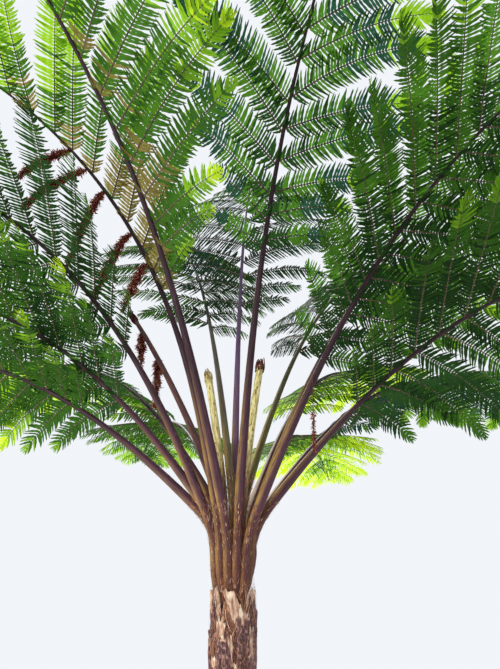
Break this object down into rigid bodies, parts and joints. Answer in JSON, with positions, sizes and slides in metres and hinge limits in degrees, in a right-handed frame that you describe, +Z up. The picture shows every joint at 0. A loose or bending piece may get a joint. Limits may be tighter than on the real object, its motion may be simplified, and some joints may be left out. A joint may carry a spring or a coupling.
{
  "type": "tree fern",
  "caption": "Tree fern with one fibrous upright trunk and a wide vase of long arching fronds on dark bare stalks.",
  "frame": {"origin": "middle of the trunk's flat foot, at ground level", "axes": "+Z up the trunk, -Y towards the side the picture was taken from, +X to the right as seen from there"},
  "size_m": [5.8374, 5.0146, 5.5889],
  "materials": {
    "bark": "matte",
    "stalk": "satin",
    "leaf": "matte",
    "dead_stalk": "matte",
    "dead_leaf": "matte",
    "stub": "matte"
  },
  "bodies": {
    "root": {"trunk": "bark", "stalk_01": "stalk", "blade_01": "leaf", "stalk_02": "stalk", "blade_02": "leaf", "stalk_03": "stalk", "blade_03": "leaf", "stalk_04": "stalk", "blade_04": "leaf", "stalk_05": "stalk", "blade_05": "leaf", "stalk_06": "stalk", "blade_06": "leaf", "stalk_07": "stalk", "blade_07": "leaf", "stalk_08": "stalk", "blade_08": "leaf", "stalk_09": "stalk", "blade_09": "leaf", "stalk_10": "stalk", "blade_10": "leaf", "stalk_11": "stalk", "blade_11": "leaf", "stalk_12": "stalk", "blade_12": "leaf", "stalk_13": "stalk", "blade_13": "leaf", "stalk_14": "stalk", "blade_14": "leaf", "stalk_15": "stalk", "blade_15": "leaf", "stalk_16": "stalk", "blade_16": "leaf", "stalk_17": "stalk", "blade_17": "leaf", "stalk_dead": "dead_stalk", "stub_left": "stub", "stub_right": "stub", "dead_pinna_1": "dead_leaf", "dead_pinna_2": "dead_leaf", "dead_pinna_3": "dead_leaf", "dead_pinna_4": "dead_leaf", "dead_pinna_5": "dead_leaf", "dead_pinna_6": "dead_leaf", "dead_pinna_7": "dead_leaf", "dead_pinna_8": "dead_leaf"}
  },
  "joints": []
}
